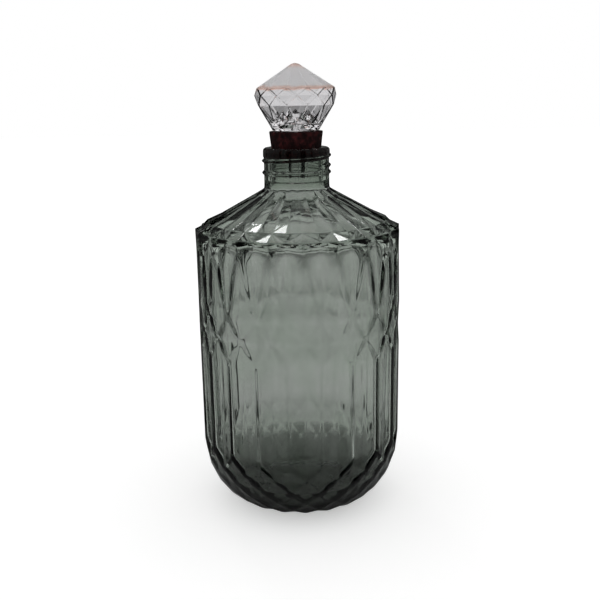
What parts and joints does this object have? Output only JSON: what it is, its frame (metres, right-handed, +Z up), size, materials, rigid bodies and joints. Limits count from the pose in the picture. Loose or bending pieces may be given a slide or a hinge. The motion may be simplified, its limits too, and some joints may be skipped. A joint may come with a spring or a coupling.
{
  "type": "potion bottle",
  "caption": "Round pressed-glass bottle with diamond-cut ridges, a screw-finish neck and a tapered cork stopper topped by a faceted crystal knob.",
  "frame": {"origin": "middle of the flat foot ring, on the surface that the bottle stands on", "axes": "+Z up along the bottle's axis, through the neck and the stopper; -Y is the side with the mould seam that faces the viewer; +X is to the viewer's right"},
  "size_m": [0.082, 0.082, 0.1777],
  "materials": {
    "smoke_glass": "fire-polished pressed glass, smoke grey with a green cast",
    "dark_cork": "fine cork stained dark red-brown, satin",
    "clear_crystal": "clear cut crystal, polished"
  },
  "bodies": {
    "bottle": {"glass_bottle": "smoke_glass"},
    "stopper": {"cork_stopper": "dark_cork", "crystal_knob": "clear_crystal"}
  },
  "joints": [
    {"name": "stopper_lift", "type": "slide", "parent": "bottle", "child": "stopper", "axis": [0, 0, 1], "range_m": [0, 0.03]}
  ]
}
